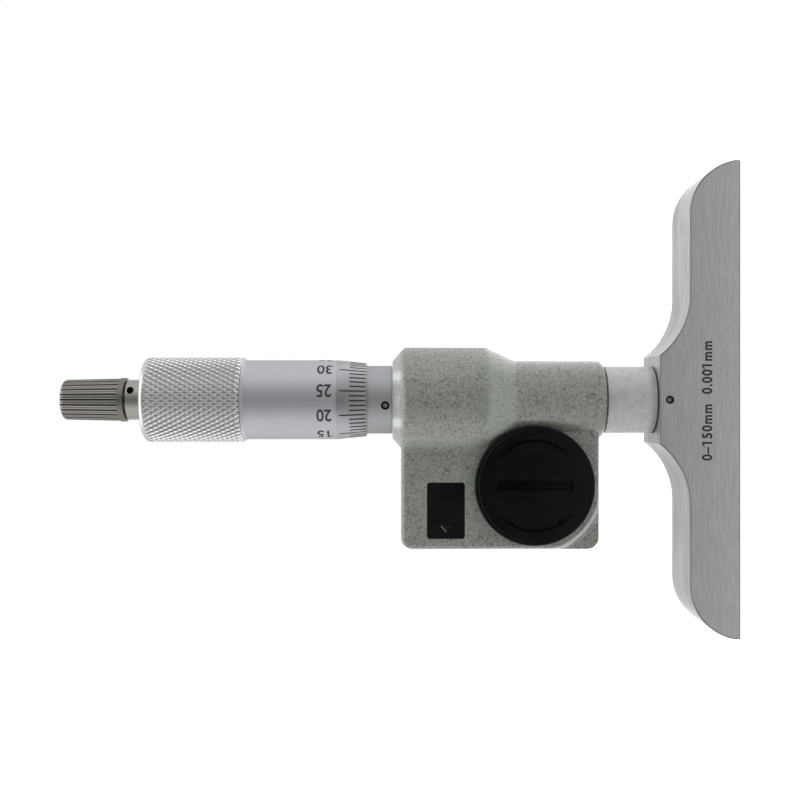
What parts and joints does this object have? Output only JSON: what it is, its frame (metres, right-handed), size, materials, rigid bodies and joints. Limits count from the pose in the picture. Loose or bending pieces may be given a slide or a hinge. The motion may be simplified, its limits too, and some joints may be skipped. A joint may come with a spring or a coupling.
{
  "type": "digital depth micrometer",
  "caption": "Digital depth micrometer: flat steel reference base, stem, cast electronics housing with battery cover and data port, graduated sleeve, knurled thimble and ratchet stop.",
  "frame": {"origin": "centre of the base's measuring face, where the spindle axis meets it", "axes": "+Z along the spindle from the base to the ratchet, +Y towards the display side, the electronics box towards -X"},
  "size_m": [0.1, 0.0268, 0.1433],
  "materials": {
    "ground_steel": "ground and lapped steel",
    "screw_steel": "dark steel",
    "satin_steel": "satin chromed steel",
    "crackle_paint": "grey-green crackle paint",
    "seal_rubber": "black rubber",
    "front_plastic": "moulded dark grey plastic",
    "window_glass": "clear",
    "display_glass": "grey-green liquid crystal display",
    "board_laminate": "green laminate",
    "spring_steel": "bright spring steel",
    "cell_steel": "nickel plated steel",
    "contact_brass": "gold plated brass",
    "black_plastic": "fine grained black plastic",
    "bush_brass": "plain bearing metal",
    "satin_chrome": "satin chrome",
    "dark_ratchet": "dark grey anodised",
    "button_rubber": "grey rubber"
  },
  "bodies": {
    "frame": {"base": "ground_steel", "base_set_screw": "screw_steel", "stem": "satin_steel", "barrel_set_screw": "crackle_paint", "housing": "crackle_paint", "front_gasket": "seal_rubber", "front_bezel": "front_plastic", "front_screws": "screw_steel", "display_window": "window_glass", "display_panel": "display_glass", "circuit_board": "board_laminate", "board_screws": "screw_steel", "switch_domes": "spring_steel", "battery": "cell_steel", "battery_base_contact": "contact_brass", "battery_side_contact": "contact_brass", "data_socket": "black_plastic", "socket_contacts": "contact_brass", "rotor_bush": "bush_brass", "thrust_washer": "bush_brass", "encoder_stator": "board_laminate", "encoder_ribbon": "contact_brass", "inner_sleeve": "satin_steel", "adjusting_nut": "satin_steel"},
    "sleeve": {"sleeve": "satin_chrome"},
    "encoder_rotor": {"encoder_rotor": "spring_steel", "rotor_key": "screw_steel"},
    "spindle": {"spindle": "spring_steel", "thimble": "satin_chrome"},
    "clamp_washer": {"clamp_washer": "spring_steel"},
    "clamp_cap": {"rod_clamp_cap": "dark_ratchet", "ratchet_screw": "screw_steel", "ratchet_spring": "spring_steel"},
    "ratchet_disc": {"ratchet_disc": "spring_steel"},
    "ratchet_knob": {"ratchet_knob": "dark_ratchet"},
    "battery_cover_seal": {"battery_cover_seal": "seal_rubber"},
    "battery_cover": {"battery_cover": "black_plastic"},
    "data_port_cover": {"data_port_cover": "black_plastic"},
    "power_button": {"power_button": "button_rubber"},
    "zero_button": {"zero_button": "button_rubber"},
    "mode_button": {"mode_button": "button_rubber"}
  },
  "joints": [
    {"name": "sleeve_adjust", "type": "hinge", "parent": "frame", "child": "sleeve", "pos_m": [0, 0, 0.08], "axis": [0, 0, 1], "range_deg": [-15, 15]},
    {"name": "thimble_turn", "type": "hinge", "parent": "frame", "child": "encoder_rotor", "pos_m": [0, 0, 0.055], "axis": [0, 0, 1], "range_deg": [0, 18000]},
    {"name": "spindle_feed", "type": "slide", "parent": "encoder_rotor", "child": "spindle", "axis": [0, 0, 1], "range_m": [0, 0.025]},
    {"name": "clamp_cap_lift", "type": "slide", "parent": "spindle", "child": "clamp_washer", "axis": [0, 0, 1], "range_m": [0, 0.00325]},
    {"name": "clamp_cap_turn", "type": "hinge", "parent": "clamp_washer", "child": "clamp_cap", "pos_m": [0, 0, 0.127], "axis": [0, 0, 1], "range_deg": [0, 2340]},
    {"name": "ratchet_turn", "type": "hinge", "parent": "clamp_cap", "child": "ratchet_knob", "pos_m": [0, 0, 0.135], "axis": [0, 0, 1], "continuous": true},
    {"name": "ratchet_disc_lift", "type": "slide", "parent": "clamp_cap", "child": "ratchet_disc", "axis": [0, 0, 1], "range_m": [0, 0.00045], "stiffness_N_per_m": 400, "springref_m": -0.003, "deforming": ["ratchet_spring"]},
    {"name": "battery_cover_lift", "type": "slide", "parent": "frame", "child": "battery_cover_seal", "axis": [0, -1, 0], "range_m": [0, 0.00125]},
    {"name": "battery_cover_turn", "type": "hinge", "parent": "battery_cover_seal", "child": "battery_cover", "pos_m": [-0.018, 0, 0.0428], "axis": [0, -1, 0], "range_deg": [0, 900]},
    {"name": "data_port_cover_pull", "type": "slide", "parent": "frame", "child": "data_port_cover", "axis": [0, -1, 0], "range_m": [0, 0.012]},
    {"name": "power_button_press", "type": "slide", "parent": "frame", "child": "power_button", "axis": [0, -1, 0], "range_m": [0, 0.0005], "stiffness_N_per_m": 800, "springref_m": -0.0005},
    {"name": "zero_button_press", "type": "slide", "parent": "frame", "child": "zero_button", "axis": [0, -1, 0], "range_m": [0, 0.0005], "stiffness_N_per_m": 800, "springref_m": -0.0005},
    {"name": "mode_button_press", "type": "slide", "parent": "frame", "child": "mode_button", "axis": [0, -1, 0], "range_m": [0, 0.0005], "stiffness_N_per_m": 800, "springref_m": -0.0005}
  ],
  "couplings": [
    {"joint": "thimble_turn", "follows": "spindle_feed", "rad_per_m": 12566},
    {"joint": "clamp_cap_turn", "follows": "clamp_cap_lift", "rad_per_m": 12566},
    {"joint": "battery_cover_turn", "follows": "battery_cover_lift", "rad_per_m": 12566}
  ]
}
